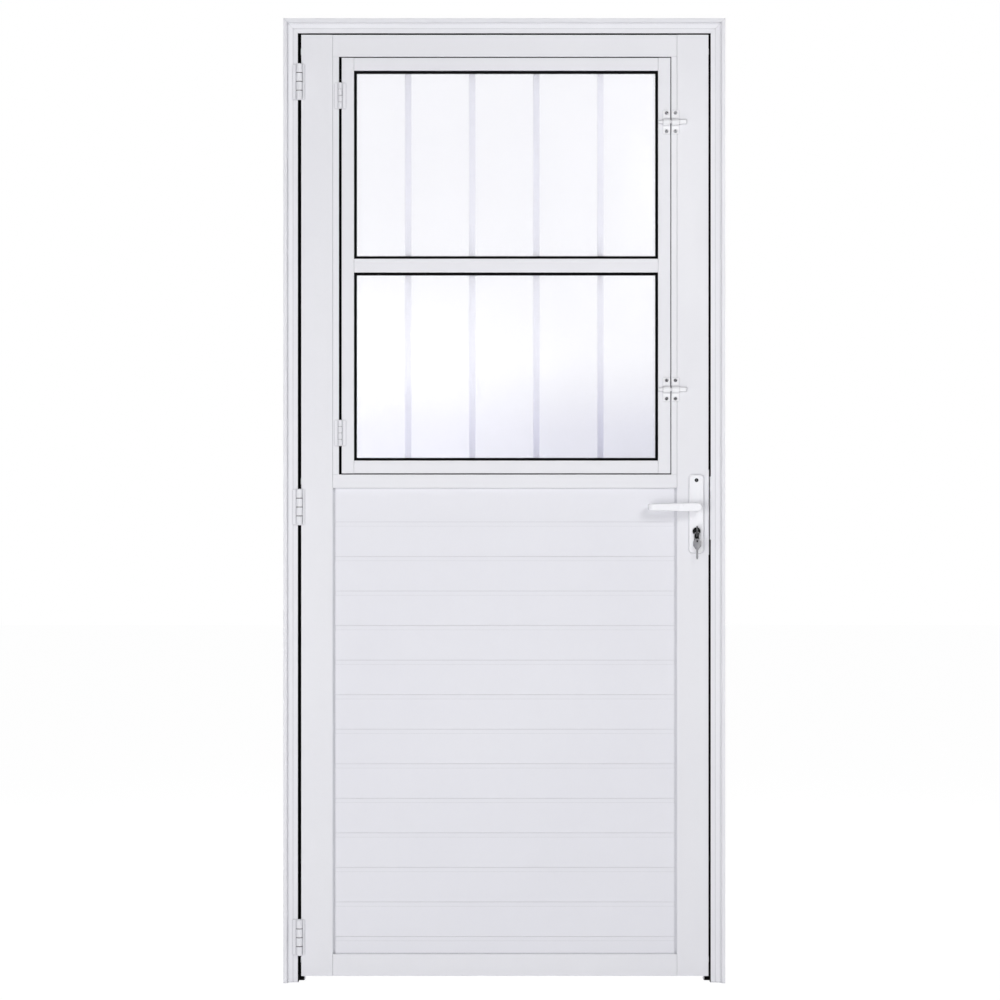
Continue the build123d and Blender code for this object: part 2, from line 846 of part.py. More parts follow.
def hinge_washers(axis, heights, size):
    """The thin rings between the knuckles."""
    radius, pin, height, washer = size
    pieces = []
    steps = hinge_steps(height, washer)
    for middle in heights:
        for below, above in zip(steps, steps[1:]):
            with BuildPart() as ring:
                with BuildSketch(at_z(middle + below[1] + running_play)):
                    with Locations(axis):
                        Circle(radius - running_play)
                        Circle(pin + running_play, mode=Mode.SUBTRACT)
                extrude(amount=above[0] - below[1] - 2 * running_play)
            pieces.append(ring.part.solid())
    return pieces


def save_group(pieces, name):
    """Write like pieces of one body as one node of separate solids."""
    group = Compound(children=pieces, label=name)
    export_step(group, f"parts/{name}.step")


door_axis = ((-half_opening + leaf_left) / 2, front - hinge_stand)
door_hinge = (hinge_radius, pin_radius, hinge_height, hinge_washer)
save_group(
    hinge_wings(door_axis, hinge_heights, door_hinge, hinge_wing, hinge_frame_wing, -1, 0),
    "hinge_frame_wings",
)
save_group(
    hinge_wings(door_axis, hinge_heights, door_hinge, hinge_wing, hinge_leaf_wing, 1, 1),
    "hinge_leaf_wings",
)
save_group(hinge_pins(door_axis, hinge_heights, door_hinge, pin_cap), "hinge_pins")
save_group(hinge_washers(door_axis, hinge_heights, door_hinge), "hinge_washers")

hatch_axis = ((hatch_left + sash_left) / 2, front - small_hinge_stand)
hatch_hinge = (small_hinge_radius, small_pin_radius, small_hinge_height, small_hinge_washer)
save_group(
    hinge_wings(
        hatch_axis, small_hinge_heights, hatch_hinge, small_hinge_wing, small_hinge_reach, -1, 0
    ),
    "hatch_hinge_frame_wings",
)
save_group(
    hinge_wings(
        hatch_axis, small_hinge_heights, hatch_hinge, small_hinge_wing, small_hinge_reach, 1, 1
    ),
    "hatch_hinge_sash_wings",
)
save_group(
    hinge_pins(hatch_axis, small_hinge_heights, hatch_hinge, small_pin_cap), "hatch_hinge_pins"
)

# Hatch latches: a bolt slides in a guide on the leaf, and its nose enters a keeper on the sash.


def saddles(start, heights):
    """Screwed plates, each with a raised tunnel across its middle for the bolt."""
    pieces = []
    for middle in heights:
        with BuildPart() as saddle:
            with BuildSketch(at_x(start)):
                area(
                    (front - saddle_plate, middle - saddle_height / 2),
                    (front, middle + saddle_height / 2),
                )
                area((front - rod_stand, middle - saddle_radius), (front, middle + saddle_radius))
                with Locations((front - rod_stand, middle)):
                    Circle(saddle_radius)
                    Circle(rod_radius + running_play, mode=Mode.SUBTRACT)
                area(
                    (front, middle - saddle_radius),
                    (back, middle + saddle_radius),
                    Mode.SUBTRACT,
                )
            extrude(amount=saddle_length)
            corners = saddle.edges().filter_by(Axis.Y)
            fillet(corners.group_by(Axis.Z)[0] + corners.group_by(Axis.Z)[-1], 2 * edge_radius)
            with BuildSketch(at_y(front)):
                with Locations(
                    (start + saddle_length / 2, middle - screw_spread),
                    (start + saddle_length / 2, middle + screw_spread),
                ):
                    Circle(screw_shank_radius + running_play)
            extrude(amount=saddle_plate, mode=Mode.SUBTRACT)
        pieces.append(saddle.part.solid())
    return pieces


def slotted_screws(x, heights):
    """Pan-head screws, each with its slot left at a turn of its own."""
    pieces = []
    for z, turn in zip(heights, slot_turns):
        with BuildPart() as screw:
            with BuildSketch(Plane(origin=(x, front - saddle_plate, z), z_dir=(0, -1, 0))):
                Circle(screw_head_radius)
            extrude(amount=screw_head_height)
            fillet(screw.edges().group_by(Axis.Y)[0], edge_radius)
            head_face = front - saddle_plate - screw_head_height
            with BuildSketch(Plane(origin=(x, head_face, z), z_dir=(0, -1, 0))):
                Rectangle(2 * screw_head_radius, recess_width, rotation=turn)
            extrude(amount=-recess_depth, mode=Mode.SUBTRACT)
            with BuildSketch(Plane(origin=(x, front - saddle_plate, z), z_dir=(0, -1, 0))):
                Circle(screw_shank_radius)
            extrude(amount=-screw_shank)
        pieces.append(screw.part.solid())
    return pieces


save_group(saddles(guide_x, latch_heights), "latch_guides")
save_group(saddles(keeper_x, latch_heights), "latch_keepers")
save_group(slotted_screws(guide_screw_x, latch_screw_heights), "guide_screws")
save_group(slotted_screws(keeper_screw_x, latch_screw_heights[::-1]), "keeper_screws")

nose_x = keeper_x - rod_nose
grip_x = guide_x + saddle_length + running_play
for bolt_name, middle in zip(("latch_bolt_lower", "latch_bolt_upper"), latch_heights):
    rod_line = Plane(origin=(nose_x, front - rod_stand, middle), x_dir=(0, 1, 0), z_dir=(1, 0, 0))
    with BuildPart() as bolt:
        with BuildSketch(rod_line):
            Circle(rod_radius)
        extrude(amount=grip_x - nose_x)
        fillet(bolt.edges().group_by(Axis.X)[0], rod_radius / 2)
        with BuildSketch(rod_line.offset(grip_x - nose_x)):
            Circle(grip_radius)
            Rectangle(2 * grip_flat, 2 * grip_radius, mode=Mode.INTERSECT)
        extrude(amount=grip_length)
        fillet(bolt.edges().group_by(Axis.X)[-1], 2 * edge_radius)
    save(bolt, bolt_name)

# Lock: case and faceplate in the stile's edge, spring latch, deadbolt and cylinder.


def bolt_slot(bottom, height, width, play, mode):
    """The outline of a bolt in the lock's edge, seen along X."""
    area((-width / 2 - play, bottom - play), (width / 2 + play, bottom + height + play), mode)


def lock_slots(play, mode=Mode.SUBTRACT):
    """The outlines of the spring latch and the deadbolt, with play all round."""
    bolt_slot(spring_latch_bottom, spring_latch_height, spring_latch_width, play, mode)
    bolt_slot(deadbolt_bottom, deadbolt_height, deadbolt_width, play, mode)


faceplate_front = leaf_right + faceplate_thickness
deadbolt_back = faceplate_front - deadbolt_length
spring_latch_back = faceplate_front + spring_latch_throw - spring_latch_length
case_back = leaf_right - case_width
slot_back = min(deadbolt_back, spring_latch_back - spring_latch_throw) - bolt_play

with BuildPart() as lock_case:
    with BuildSketch(at_x(case_back)):
        area(
            (-case_thickness / 2, case_bottom),
            (case_thickness / 2, case_bottom + case_height),
        )
    extrude(amount=case_width)
    with BuildSketch(at_x(slot_back)):
        lock_slots(bolt_play, Mode.ADD)
    extrude(amount=leaf_right - slot_back, mode=Mode.SUBTRACT)
    with BuildSketch(lock_plane(-case_thickness / 2, cylinder_height)):
        euro_profile(bolt_play)
        with Locations((0, cylinder_drop)):
            Circle(spindle_room)
        with Locations(*[(0, z - cylinder_height) for z in plate_screw_heights]):
            Circle(plate_screw_radius + bolt_play)
    extrude(amount=-case_thickness, mode=Mode.SUBTRACT)
save(lock_case, "lock_case")

with BuildPart() as lock_faceplate:
    with BuildSketch(at_x(leaf_right)):
        area(
            (-faceplate_width / 2, case_bottom - faceplate_margin),
            (faceplate_width / 2, case_bottom + case_height + faceplate_margin),
        )
        lock_slots(bolt_play)
    extrude(amount=faceplate_thickness)
    fillet(lock_faceplate.edges().filter_by(Axis.X).group_by(Axis.Z)[0], 2 * edge_radius)
    fillet(lock_faceplate.edges().filter_by(Axis.X).group_by(Axis.Z)[-1], 2 * edge_radius)
save(lock_faceplate, "lock_faceplate")

with BuildPart() as spring_latch:
    with BuildSketch(at_z(spring_latch_bottom)):
        half = spring_latch_width / 2
        tip = faceplate_front + spring_latch_throw
        Polygon(
            (spring_latch_back, -half),
            (tip, -half),
            (tip, -half + edge_radius),
            (faceplate_front + edge_radius, half),
            (spring_latch_back, half),
        )
    extrude(amount=spring_latch_height)
save(spring_latch, "spring_latch")

with BuildPart() as deadbolt:
    with BuildSketch(at_x(deadbolt_back)):
        bolt_slot(deadbolt_bottom, deadbolt_height, deadbolt_width, 0, Mode.ADD)
    extrude(amount=deadbolt_length)
    fillet(deadbolt.faces().sort_by(Axis.X)[-1].edges(), edge_radius)
save(deadbolt, "deadbolt")

with BuildPart() as cylinder_body:
    with BuildSketch(lock_plane(-cylinder_half, cylinder_height)):
        euro_profile()
    extrude(amount=-2 * cylinder_half)
    with BuildSketch(lock_plane(-cylinder_half, cylinder_height)):
        Circle(plug_bore + running_play)
    extrude(amount=-(cylinder_half - plug_proud), mode=Mode.SUBTRACT)
    with BuildSketch(lock_plane(cylinder_half, cylinder_height)):
        Circle(plug_bore)
        Circle(plug_bore - plug_proud, mode=Mode.SUBTRACT)
        Rectangle(keyway_width, keyway_height)
    extrude(amount=recess_depth, mode=Mode.SUBTRACT)
save(cylinder_body, "cylinder_body")

plug_face = -cylinder_half - plug_proud
with BuildPart() as cylinder_plug:
    with BuildSketch(lock_plane(plug_face, cylinder_height)):
        Circle(plug_bore)
        Rectangle(keyway_width, keyway_height, mode=Mode.SUBTRACT)
    extrude(amount=plug_face + plug_proud)
save(cylinder_plug, "cylinder_plug")


def key_piece(plane):
    """A flat key: the shoulder at the plane's origin, the blade along +Y and the bow along -Y."""
    bow_centre = -key_shoulder - key_bow_height / 2
    pitch = key_blade_length / (key_notches + 1)
    with BuildPart() as key:
        with BuildSketch(plane):
            area((-key_blade / 2, bow_centre), (key_blade / 2, key_blade_length))
            with Locations((0, bow_centre)):
                RectangleRounded(key_bow_width, key_bow_height, key_bow_corner)
            with Locations((0, key_hole_rim + key_hole_radius - key_shoulder - key_bow_height)):
                Circle(key_hole_radius, mode=Mode.SUBTRACT)
            for index in range(1, key_notches + 1):
                depth = key_notch * (1 if index % 2 else 0.5)
                with Locations((key_blade / 2, index * pitch)):
                    Rectangle(2 * depth, pitch / 2, rotation=45, mode=Mode.SUBTRACT)
        extrude(amount=key_thickness / 2, both=True)
    return key


shoulder_y = plug_face
key = key_piece(Plane(origin=(lock_x, shoulder_y, cylinder_height), x_dir=(0, 0, -1), z_dir=(1, 0, 0)))
save(key, "key")

# The ring passes the key's hole slantwise and hangs from it, and the spare key hangs in the ring.
hole_from_shoulder = key_shoulder + key_bow_height - key_hole_rim - key_hole_radius
ring_y = shoulder_y - hole_from_shoulder
ring_z = cylinder_height - ring_sag - ring_radius
ring_along = (cos(radians(ring_turn)), sin(radians(ring_turn)), 0)
ring_across = (sin(radians(ring_turn)), -cos(radians(ring_turn)), 0)
with BuildPart() as key_ring:
    with BuildSketch(Plane(origin=(lock_x, ring_y, ring_z), x_dir=ring_along, z_dir=(0, 0, 1))):
        with Locations((ring_radius, 0)):
            Circle(ring_wire)
    revolve(axis=Axis((lock_x, ring_y, ring_z), ring_across))
save(key_ring, "key_ring")

spare_hole_z = ring_z - ring_radius - (key_hole_radius - ring_wire) + seat_gap
spare_shoulder_z = spare_hole_z - hole_from_shoulder
spare_key = key_piece(
    Plane(origin=(lock_x, ring_y, spare_shoulder_z), x_dir=ring_across, z_dir=ring_along)
)
save(spare_key, "spare_key")

# Handles: a long plate on each face, a lever in front of it, and a square spindle through both.
with BuildPart() as escutcheon_outer:
    plate_bottom = handle_height + plate_top - plate_height
    with BuildSketch(at_y(front)):
        with Locations((lock_x, plate_bottom + plate_height / 2)):
            RectangleRounded(plate_width, plate_height, plate_corner)
    extrude(amount=plate_thickness)
    fillet(escutcheon_outer.faces().sort_by(Axis.Y)[0].edges(), plate_edge)
    with BuildSketch(lock_plane(front, cylinder_height)):
        euro_profile(channel_play)
        with Locations((0, cylinder_drop)):
            Circle(spindle_room)
        with Locations(*[(0, z - cylinder_height) for z in plate_screw_heights]):
            Circle(plate_screw_radius + running_play)
    extrude(amount=plate_thickness, mode=Mode.SUBTRACT)
    with BuildSketch(lock_plane(plate_face, handle_height)):
        Circle(stem_radius + running_play)
    extrude(amount=-neck_socket, mode=Mode.SUBTRACT)
    with BuildSketch(lock_plane(plate_face, handle_height)):
        with Locations(*[(0, z - handle_height) for z in plate_screw_heights]):
            Circle(plate_screw_head + running_play)
    extrude(amount=-plate_screw_radius, mode=Mode.SUBTRACT)
save(escutcheon_outer, "escutcheon_outer")

with BuildPart() as escutcheon_inner:
    mirror(escutcheon_outer.part, about=Plane.XZ)
save(escutcheon_inner, "escutcheon_inner")

with BuildPart() as escutcheon_screws:
    for z in plate_screw_heights:
        with BuildSketch(lock_plane(plate_face + plate_screw_radius, z)):
            Circle(plate_screw_head)
        extrude(amount=plate_screw_radius - edge_radius)
        with BuildSketch(lock_plane(plate_face + edge_radius, z)):
            Rectangle(plate_screw_head, recess_width)
            Rectangle(recess_width, plate_screw_head)
        extrude(amount=-recess_depth, mode=Mode.SUBTRACT)
        with BuildSketch(lock_plane(plate_face + plate_screw_radius, z)):
            Circle(plate_screw_radius)
        extrude(amount=2 * (plate_face + plate_screw_radius))
save(escutcheon_screws, "escutcheon_screws")

with BuildPart() as handle_outer:
    tip_x = lock_x - handle_reach
    bar_back = grip_front + handle_thickness
    with BuildSketch(at_z(handle_height - neck_radius)):
        area((tip_x + handle_bend, grip_front), (lock_x + neck_radius, bar_back))
        with Locations((tip_x + handle_bend, grip_front + handle_bend)):
            Circle(handle_bend)
        area((tip_x, grip_front + handle_bend), (tip_x + handle_thickness, bar_back + handle_return))
        with Locations((tip_x + handle_bend, grip_front + handle_bend)):
            Circle(handle_bend - handle_thickness, mode=Mode.SUBTRACT)
        area(
            (tip_x + handle_thickness, bar_back),
            (tip_x + 2 * handle_bend, bar_back + handle_return),
            Mode.SUBTRACT,
        )
    extrude(amount=2 * neck_radius)
    round_end = handle_outer.edges().filter_by(Axis.Y).group_by(Axis.X)[-1]
    fillet(round_end, neck_radius - edge_radius / 2)
    with BuildSketch(at_y(grip_front)):
        for side in (1, -1):
            Polygon(
                (tip_x, handle_height + side * handle_tip / 2),
                (tip_x, handle_height + side * neck_radius),
                (lock_x - neck_radius, handle_height + side * neck_radius),
            )
    extrude(amount=-(handle_thickness + handle_bend + handle_return), mode=Mode.SUBTRACT)
    front_lines = handle_outer.faces().sort_by(Axis.Y)[0].edges().sort_by(Axis.Z)
    fillet([front_lines[0], front_lines[-1]], handle_edge)
    with BuildSketch(lock_plane(bar_back, handle_height)):
        Circle(stem_radius)
    extrude(amount=-(plate_face + neck_socket - bar_back))
    with BuildSketch(lock_plane(plate_face + neck_socket, handle_height)):
        Rectangle(spindle_side, spindle_side)
    extrude(amount=spindle_end + plate_face + neck_socket, mode=Mode.SUBTRACT)
save(handle_outer, "handle_outer")

with BuildPart() as handle_inner:
    mirror(handle_outer.part, about=Plane.XZ)
save(handle_inner, "handle_inner")

with BuildPart() as spindle:
    with BuildSketch(lock_plane(-spindle_end, handle_height)):
        Rectangle(spindle_side, spindle_side)
    extrude(amount=-2 * spindle_end)
save(spindle, "spindle")
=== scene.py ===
# %% [markdown]
# A white metal entrance door stands in its frame: boards below, a glazed hatch with a grille above,
# two barrel latches, and a long-plate lever lock with a bunch of keys. The solids come from the
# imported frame, which never moves. This file dresses them: it gives every solid a finish made of
# nodes, makes the two keys and their ring in finer detail, and sets light and camera.

import json
from math import cos, radians, sin, tau

import bpy
from mathutils import Matrix, Vector


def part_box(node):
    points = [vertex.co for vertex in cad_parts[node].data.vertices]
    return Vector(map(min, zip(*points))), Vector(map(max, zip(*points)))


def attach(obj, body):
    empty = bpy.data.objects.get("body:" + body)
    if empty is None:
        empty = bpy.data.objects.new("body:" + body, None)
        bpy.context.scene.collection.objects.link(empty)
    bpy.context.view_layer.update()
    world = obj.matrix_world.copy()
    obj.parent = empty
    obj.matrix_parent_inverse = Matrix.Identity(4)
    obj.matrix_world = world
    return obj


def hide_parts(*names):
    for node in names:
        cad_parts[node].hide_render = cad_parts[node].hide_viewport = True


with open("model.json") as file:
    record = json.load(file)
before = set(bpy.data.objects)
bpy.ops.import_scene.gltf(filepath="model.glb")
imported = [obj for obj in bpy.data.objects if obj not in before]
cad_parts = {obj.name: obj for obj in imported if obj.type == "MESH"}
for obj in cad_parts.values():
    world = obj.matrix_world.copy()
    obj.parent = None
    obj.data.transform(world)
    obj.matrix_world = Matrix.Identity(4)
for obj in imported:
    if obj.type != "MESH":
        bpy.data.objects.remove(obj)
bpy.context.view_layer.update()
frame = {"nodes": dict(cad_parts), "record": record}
nodes = frame["nodes"]
for plain_colour in list(bpy.data.materials):
    bpy.data.materials.remove(plain_colour)

# %% [markdown]
# The camera looks at the door squarely from half its height, like a catalogue picture. It stands
# 7 m off the leaf's front with a long lens, so that levers and hinges stay in line with the faces
# that carry them.

# %% Camera
camera_distance = 7.0
view_size = 2.1913
view_middle_x, view_middle_z = -0.0094, 1.0571
leaf_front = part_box("stile_lock_side")[0].y
camera_data = bpy.data.cameras.new("camera")
camera_data.sensor_width = 36.0
camera_data.lens = camera_data.sensor_width * camera_distance / view_size
camera = bpy.data.objects.new("camera", camera_data)
camera.location = (view_middle_x, leaf_front - camera_distance, view_middle_z)
camera.rotation_euler = (radians(90), 0, 0)
bpy.context.scene.collection.objects.link(camera)
bpy.context.scene.camera = camera
print("leaf front at y =", round(leaf_front, 4), "lens in mm:", round(camera_data.lens, 1))

# %% [markdown]
# The studio is white. A large soft lamp stands low in front on the left, and a small weaker key
# lamp up on the right gives the lever its soft shadow. Two lamps stand behind and one hangs
# overhead for the other sides. The world fills the shadows. It is plain white wherever the camera,
# a reflection or the glass looks straight at it, and dimmer where it lights the door.


# %% Node helpers
def add_node(tree, kind, **settings):
    """Adds a node and sets its properties by name."""
    node = tree.nodes.new(kind)
    for name, value in settings.items():
        setattr(node, name, value)
    return node


def plug(socket, value):
    """Links an input to another node's output, or sets it to a plain value."""
    if isinstance(value, bpy.types.NodeSocket):
        socket.id_data.links.new(value, socket)
    else:
        socket.default_value = value


def feed(node, **values):
    """Plugs values or outputs into named inputs. An underscore in a name stands for a space."""
    for name, value in values.items():
        plug(node.inputs[name.replace("_", " ")], value)
    return node


def add_math(tree, operation, first, second=0.0, use_clamp=False):
    """The result of a Math node on one or two numbers or outputs."""
    node = add_node(tree, "ShaderNodeMath", operation=operation, use_clamp=use_clamp)
    plug(node.inputs[0], first)
    plug(node.inputs[1], second)
    return node.outputs[0]


def mixed_rays(tree):
    """One where a ray from the camera, a reflection or the glass meets this surface, else zero."""
    path = add_node(tree, "ShaderNodeLightPath").outputs
    direct = add_math(tree, "MAXIMUM", path["Is Camera Ray"], path["Is Glossy Ray"])
    return add_math(tree, "MAXIMUM", direct, path["Is Transmission Ray"])


def mix_shaders(tree, output_kind, factor, first, second):
    """Ends a tree with the first shader at factor zero and the second at one."""
    mix = add_node(tree, "ShaderNodeMixShader")
    plug(mix.inputs[0], factor)
    plug(mix.inputs[1], first.outputs[0])
    plug(mix.inputs[2], second.outputs[0])
    feed(add_node(tree, output_kind), Surface=mix.outputs[0])


# %% World
world = bpy.data.worlds.new("studio_white")
world.use_nodes = True
world_tree = world.node_tree
world_tree.nodes.clear()
world_lit = add_node(world_tree, "ShaderNodeBackground")
world_seen = add_node(world_tree, "ShaderNodeBackground")
feed(world_lit, Color=(0.955, 0.955, 1, 1), Strength=0.18)
feed(world_seen, Color=(1, 1, 1, 1), Strength=1.0)
mix_shaders(world_tree, "ShaderNodeOutputWorld", mixed_rays(world_tree), world_lit, world_seen)
bpy.context.scene.world = world
bpy.context.scene.view_settings.view_transform = "Standard"
print("world:", world.name)


# %% Lamps
def add_lamp(name, place, aim, size, power, in_reflections=True):
    """A rectangular soft lamp at a place, facing a point, with its power in watts."""
    lamp = bpy.data.lights.new(name, "AREA")
    lamp.shape = "RECTANGLE"
    lamp.size, lamp.size_y = size
    lamp.energy = power
    holder = bpy.data.objects.new(name, lamp)
    holder.visible_camera = False
    holder.visible_glossy = in_reflections
    holder.location = place
    holder.rotation_euler = (Vector(aim) - Vector(place)).to_track_quat("-Z", "Y").to_euler()
    bpy.context.scene.collection.objects.link(holder)


add_lamp("key_lamp", (1.1, -3.2, 2.1), (-0.1, 0, 1.5), (0.8, 0.8), 26)
add_lamp("front_lamp", (-1.0, -4.4, 0.5), (-0.15, 0, 0.7), (2.2, 2.2), 133, in_reflections=False)
add_lamp("back_lamp_left", (-3.4, 2.4, 1.3), (0, 0, 1.0), (1.2, 2.0), 72)
add_lamp("back_lamp_right", (3.4, 2.4, 1.3), (0, 0, 1.0), (1.2, 2.0), 72)
add_lamp("top_lamp", (0, 0.7, 4.4), (0, 0.3, 2.0), (1.6, 0.8), 18)

# %% [markdown]
# The floor is a pale sheet. Most of what the camera sees of it is plain white, so that it runs into
# the white behind, and the rest is a real surface that keeps the door's soft shadow.

# %% Floor
floor_size = 40
glow_share = 0.92
bpy.ops.object.select_all(action="DESELECT")
bpy.ops.mesh.primitive_plane_add(size=floor_size, location=(0, 0, 0))
floor = bpy.context.object
floor.name = "studio_floor"
floor_look = bpy.data.materials.new("floor_white")
floor_look.use_nodes = True
floor_tree = floor_look.node_tree
floor_tree.nodes.clear()
floor_matt = add_node(floor_tree, "ShaderNodeBsdfDiffuse")
floor_glow = add_node(floor_tree, "ShaderNodeEmission")
feed(floor_matt, Color=(0.97, 0.97, 0.98, 1))
feed(floor_glow, Color=(1, 1, 1, 1), Strength=1.06)
floor_share = add_math(floor_tree, "MULTIPLY", mixed_rays(floor_tree), glow_share)
mix_shaders(floor_tree, "ShaderNodeOutputMaterial", floor_share, floor_matt, floor_glow)
floor.data.materials.append(floor_look)
print("floor:", floor.name)

# %% [markdown]
# Effects that several finishes share are node groups. Each has named inputs, so that one group
# gives the coat on a stile and the coat on a lever their own scale and strength.


# %% Group helpers
def new_group(name, inputs, outputs):
    """A shader node group with sockets by (name, kind, value), its inputs and its output node."""
    group = bpy.data.node_groups.new(name, "ShaderNodeTree")
    for socket, kind, value in inputs:
        made = group.interface.new_socket(name=socket, in_out="INPUT", socket_type=kind)
        made.default_value = value
    for socket, kind in outputs:
        group.interface.new_socket(name=socket, in_out="OUTPUT", socket_type=kind)
    return group, group.nodes.new("NodeGroupInput").outputs, group.nodes.new("NodeGroupOutput")


def object_point(tree, scale_from=None):
    """Object coordinates, multiplied by a socket that holds a scale."""
    place = add_node(tree, "ShaderNodeTexCoord").outputs["Object"]
    if scale_from is None:
        return place
    scaled = add_node(tree, "ShaderNodeVectorMath", operation="SCALE")
    plug(scaled.inputs[0], place)
    plug(scaled.inputs["Scale"], scale_from)
    return scaled.outputs[0]


def add_noise(tree, place, **values):
    """The grey value of a Noise texture at a point."""
    return feed(add_node(tree, "ShaderNodeTexNoise"), Vector=place, **values).outputs["Fac"]


def add_range(tree, value, zero_at, one_at):
    """A value mapped to zero at one end of a range and to one at the other."""
    node = add_node(tree, "ShaderNodeMapRange")
    return feed(node, Value=value, From_Min=zero_at, From_Max=one_at).outputs[0]


def add_mix(tree, data_type, factor, first, second):
    """The result of a Mix node: the first value at factor zero, the second at one."""
    node = add_node(tree, "ShaderNodeMix", data_type=data_type)
    return feed(node, Factor=factor, A=first, B=second).outputs["Result"]


# %% [markdown]
# Powder coat flows into a fine skin like orange peel: low waves about 2 mm long, with finer grit on
# them. Two noises, one inside the other, give that height.

# %% Group: orange peel
peel, peel_in, peel_out = new_group(
    "orange_peel",
    [("Scale", "NodeSocketFloat", 450.0), ("Grit", "NodeSocketFloat", 0.25)],
    [("Height", "NodeSocketFloat")],
)
peel_place = object_point(peel, peel_in["Scale"])
peel_wave = add_noise(peel, peel_place, Scale=1.0, Detail=1.0, Roughness=0.4)
peel_grit = add_noise(peel, peel_place, Scale=5.0, Detail=2.0, Roughness=0.6)
feed(peel_out, Height=add_mix(peel, "FLOAT", peel_in["Grit"], peel_wave, peel_grit))
print("group:", peel.name)

# %% [markdown]
# A white coat isn't one flat white. Large soft clouds shift its tone by a hair, and a fine mottle
# breaks it up close by.

# %% Group: coat tone
tone, tone_in, tone_out = new_group(
    "coat_tone",
    [
        ("Coat", "NodeSocketColor", (0.82, 0.82, 0.85, 1)),
        ("Shade", "NodeSocketColor", (0.74, 0.74, 0.79, 1)),
        ("Clouds", "NodeSocketFloat", 0.35),
        ("Mottle", "NodeSocketFloat", 0.12),
    ],
    [("Color", "NodeSocketColor")],
)
tone_place = object_point(tone)
cloud_noise = add_noise(tone, tone_place, Scale=2.6, Detail=3.0, Roughness=0.5)
speck_noise = add_noise(tone, tone_place, Scale=160.0, Detail=3.0, Roughness=0.7)
cloud_mask = add_range(tone, cloud_noise, 0.38, 0.68)
speck_mask = add_range(tone, speck_noise, 0.35, 0.75)
cloud_share = add_math(tone, "MULTIPLY", cloud_mask, tone_in["Clouds"])
speck_share = add_math(tone, "MULTIPLY", speck_mask, tone_in["Mottle"])
shade_share = add_math(tone, "ADD", cloud_share, speck_share, use_clamp=True)
feed(tone_out, Color=add_mix(tone, "RGBA", shade_share, tone_in["Coat"], tone_in["Shade"]))
print("group:", tone.name)

# %% [markdown]
# Painted shade darkens the coat where two faces meet: along beads, behind lips and in the joints of
# the frame. The Ambient Occlusion node measures how closed in a point is within a given reach, so
# that the group can paint shade onto the coat there, and leave open faces as they are.

# %% Group: crease shade (painted shade)
crease, crease_in, crease_out = new_group(
    "crease_painted_shade",
    [
        ("Coat", "NodeSocketColor", (0.8, 0.8, 0.83, 1)),
        ("Crease Shade", "NodeSocketColor", (0.28, 0.28, 0.31, 1)),
        ("Reach", "NodeSocketFloat", 0.012),
        ("Amount", "NodeSocketFloat", 1.0),
    ],
    [("Color", "NodeSocketColor")],
)
crease_open = add_node(crease, "ShaderNodeAmbientOcclusion", samples=6)
feed(crease_open, Distance=crease_in["Reach"])
# Painted shade: the more closed in a point is, the more of the dark colour it gets.
crease_deep = add_range(crease, crease_open.outputs["AO"], 0.97, 0.3)
crease_share = add_math(crease, "MULTIPLY", crease_deep, crease_in["Amount"], use_clamp=True)
feed(crease_out, Color=add_mix(crease, "RGBA", crease_share, crease_in["Coat"], crease_in["Crease Shade"]))
print("group:", crease.name)

# %% [markdown]
# Hands and cloths leave smears that are duller than the clean coat. Stretched noise gives a streaky
# mask, which moves the roughness between two values.

# %% Group: wiped gloss
wipe, wipe_in, wipe_out = new_group(
    "wiped_gloss",
    [
        ("Clean", "NodeSocketFloat", 0.3),
        ("Smeared", "NodeSocketFloat", 0.45),
        ("Scale", "NodeSocketFloat", 9.0),
    ],
    [("Roughness", "NodeSocketFloat")],
)
wipe_turn = add_node(wipe, "ShaderNodeMapping")
feed(wipe_turn, Vector=object_point(wipe, wipe_in["Scale"]))
feed(wipe_turn, Rotation=(0.0, 0.5, 0.0), Scale=(1.0, 1.0, 0.3))
wipe_noise = add_noise(wipe, wipe_turn.outputs[0], Scale=1.0, Detail=4.0, Distortion=0.6)
wipe_mask = add_range(wipe, wipe_noise, 0.4, 0.65)
feed(wipe_out, Roughness=add_mix(wipe, "FLOAT", wipe_mask, wipe_in["Clean"], wipe_in["Smeared"]))
print("group:", wipe.name)

# %% [markdown]
# Ground and drawn metal shows fine lines one way. Noise squeezed hard along one axis gives them.

# %% Group: ground lines
lines, lines_in, lines_out = new_group(
    "ground_lines",
    [
        ("Stretch", "NodeSocketVector", (40.0, 900.0, 900.0)),
        ("Dull", "NodeSocketFloat", 0.42),
        ("Bright", "NodeSocketFloat", 0.24),
    ],
    [("Height", "NodeSocketFloat"), ("Roughness", "NodeSocketFloat")],
)
lines_place = add_node(lines, "ShaderNodeVectorMath", operation="MULTIPLY")
plug(lines_place.inputs[0], object_point(lines))
plug(lines_place.inputs[1], lines_in["Stretch"])
lines_noise = add_noise(lines, lines_place.outputs[0], Scale=1.0, Detail=3.0, Roughness=0.6)
lines_gloss = add_mix(lines, "FLOAT", lines_noise, lines_in["Dull"], lines_in["Bright"])
feed(lines_out, Height=lines_noise, Roughness=lines_gloss)
print("group:", lines.name)


# %% [markdown]
# Each finish is one material: its own Principled shader, fed by the groups. The helper makes the
# shader and a Bump node, whose distance is the real depth of the relief in metres. It keeps every
# finish under its name, which is that of a slot in the record or of a look of its own.


# %% Finish helpers
finishes = {}


